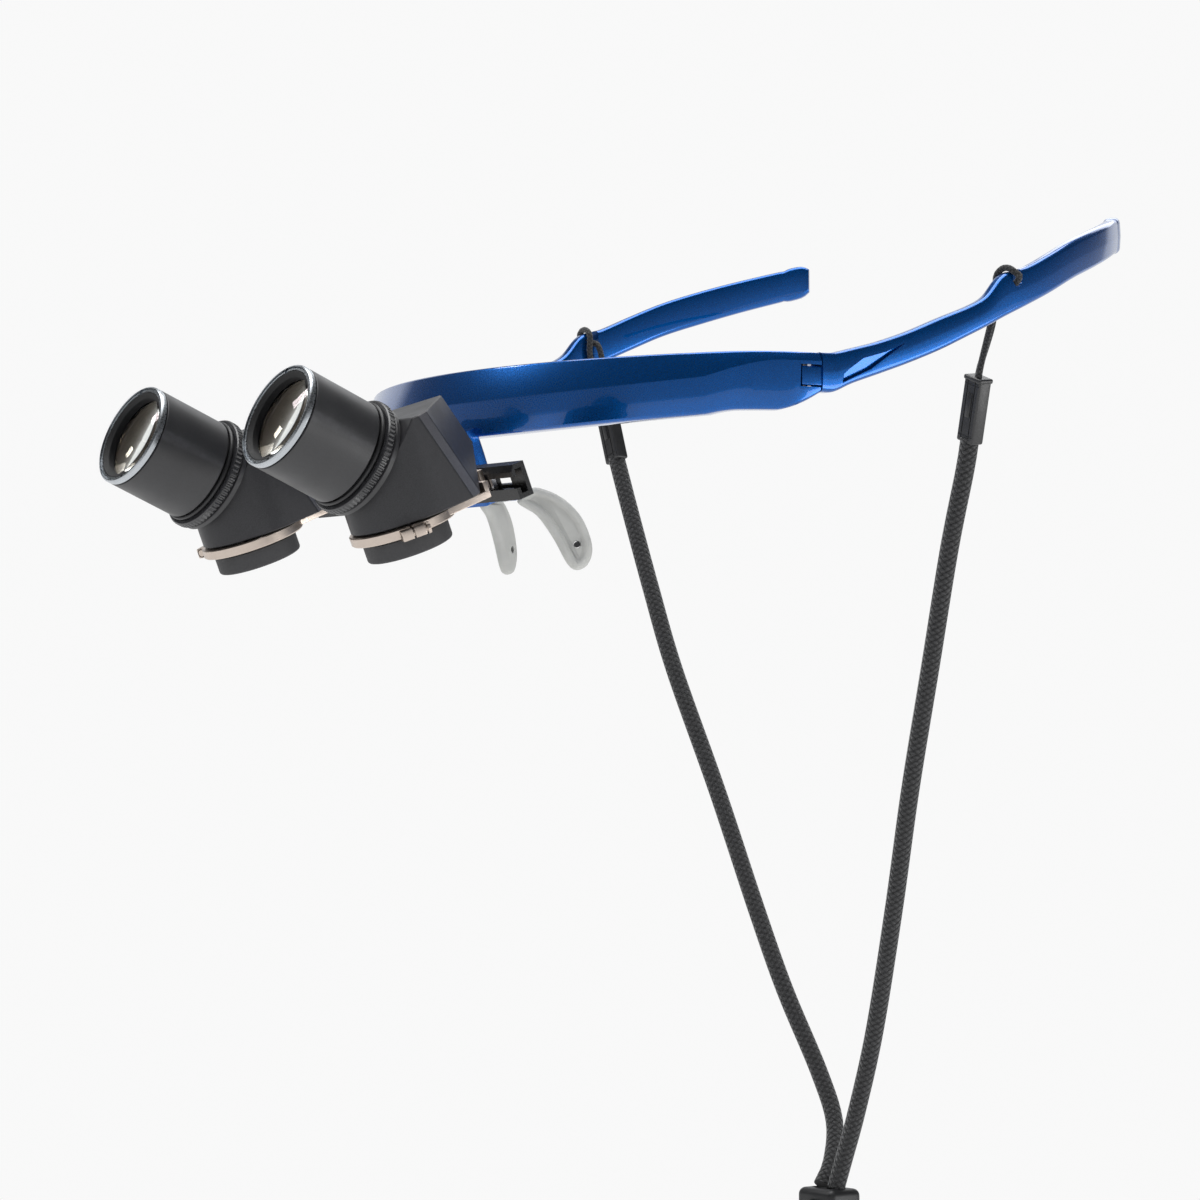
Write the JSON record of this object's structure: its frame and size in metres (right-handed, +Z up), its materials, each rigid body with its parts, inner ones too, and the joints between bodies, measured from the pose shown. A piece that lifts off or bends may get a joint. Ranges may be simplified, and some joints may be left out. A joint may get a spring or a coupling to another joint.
{
  "type": "dental loupes",
  "caption": "Flip-up prism binocular loupes on a pearl-blue wrap-around spectacle frame with folding temples, nose pads and a braided neck cord with lock.",
  "frame": {"origin": "nose bridge, midway between the nose pads", "axes": "+X to the wearer's left, -Y forward, +Z up as worn"},
  "size_m": [0.1526, 0.2025, 0.2702],
  "materials": {
    "pearl_blue": "pearl lacquer under clear coat",
    "satin_black": "satin black anodised",
    "rail_black": "moulded black",
    "rubber_grey": "matt dark grey rubber",
    "champagne": "satin champagne metal",
    "silver": "turned bright ring",
    "steel": "plain steel",
    "glass": "coated optical glass",
    "pad_grey": "soft translucent grey",
    "braid_black": "braided cord"
  },
  "bodies": {
    "frame": {"brow_frame": "pearl_blue", "flip_pin": "steel", "detent_spring": "steel", "hinge_pin_left": "steel", "hinge_pin_right": "steel", "nose_pad_left": "pad_grey", "nose_pad_right": "pad_grey", "nose_pad_screw_left": "steel", "nose_pad_screw_right": "steel", "neck_cord_left": "braid_black", "neck_cord_right": "braid_black", "cord_tail": "braid_black", "cord_lock_body": "rail_black", "cord_lock_spring": "steel"},
    "temple_left": {"temple_left": "pearl_blue", "strap_string_left": "braid_black", "strap_sleeve_left": "braid_black"},
    "temple_right": {"temple_right": "pearl_blue", "strap_string_right": "braid_black", "strap_sleeve_right": "braid_black"},
    "carrier": {"rail": "rail_black", "flip_bracket": "rail_black", "rail_screw_left": "steel", "rail_screw_right": "steel"},
    "lock_button": {"cord_lock_button": "rubber_grey"},
    "loupe_left": {"carriage_left": "steel", "clamp_plate_left": "champagne", "clamp_screw_left": "steel", "prism_housing_left": "satin_black", "roof_prism_left": "glass", "barrel_collar_left": "satin_black", "eyepiece_cup_left": "rubber_grey", "eyepiece_lens_left": "glass"},
    "focus_left": {"objective_barrel_left": "satin_black", "focus_ring_left": "satin_black", "grip_ring_left": "rubber_grey", "retaining_ring_left": "silver", "objective_lens_left": "glass"},
    "loupe_right": {"carriage_right": "steel", "clamp_plate_right": "champagne", "clamp_screw_right": "steel", "prism_housing_right": "satin_black", "roof_prism_right": "glass", "barrel_collar_right": "satin_black", "eyepiece_cup_right": "rubber_grey", "eyepiece_lens_right": "glass"},
    "focus_right": {"objective_barrel_right": "satin_black", "focus_ring_right": "satin_black", "grip_ring_right": "rubber_grey", "retaining_ring_right": "silver", "objective_lens_right": "glass"}
  },
  "joints": [
    {"name": "temple_left_fold", "type": "hinge", "parent": "frame", "child": "temple_left", "pos_m": [0.06847, 0.0171, 0.0246], "axis": [0, 0, 1], "range_deg": [0, 88]},
    {"name": "temple_right_fold", "type": "hinge", "parent": "frame", "child": "temple_right", "pos_m": [-0.06847, 0.0171, 0.0246], "axis": [0, 0, -1], "range_deg": [0, 80]},
    {"name": "flip", "type": "hinge", "parent": "frame", "child": "carrier", "pos_m": [0, -0.02579, 0.00804], "axis": [-1, 0, 0], "range_deg": [0, 70]},
    {"name": "pd_left", "type": "slide", "parent": "carrier", "child": "loupe_left", "axis": [1, 0, 0], "range_m": [-0.003, 0.005]},
    {"name": "pd_right", "type": "slide", "parent": "carrier", "child": "loupe_right", "axis": [-1, 0, 0], "range_m": [-0.003, 0.005]},
    {"name": "focus_left", "type": "hinge", "parent": "loupe_left", "child": "focus_left", "pos_m": [0.028, -0.055, 0.0046], "axis": [0, -0.9239, 0.3827], "range_deg": [-90, 90]},
    {"name": "focus_right", "type": "hinge", "parent": "loupe_right", "child": "focus_right", "pos_m": [-0.028, -0.055, 0.0046], "axis": [0, -0.9239, 0.3827], "range_deg": [-90, 90]},
    {"name": "lock_button_press", "type": "slide", "parent": "frame", "child": "lock_button", "axis": [0, 1, 0], "range_m": [0, 0.003], "stiffness_N_per_m": 400, "deforming": ["cord_lock_spring"]}
  ]
}
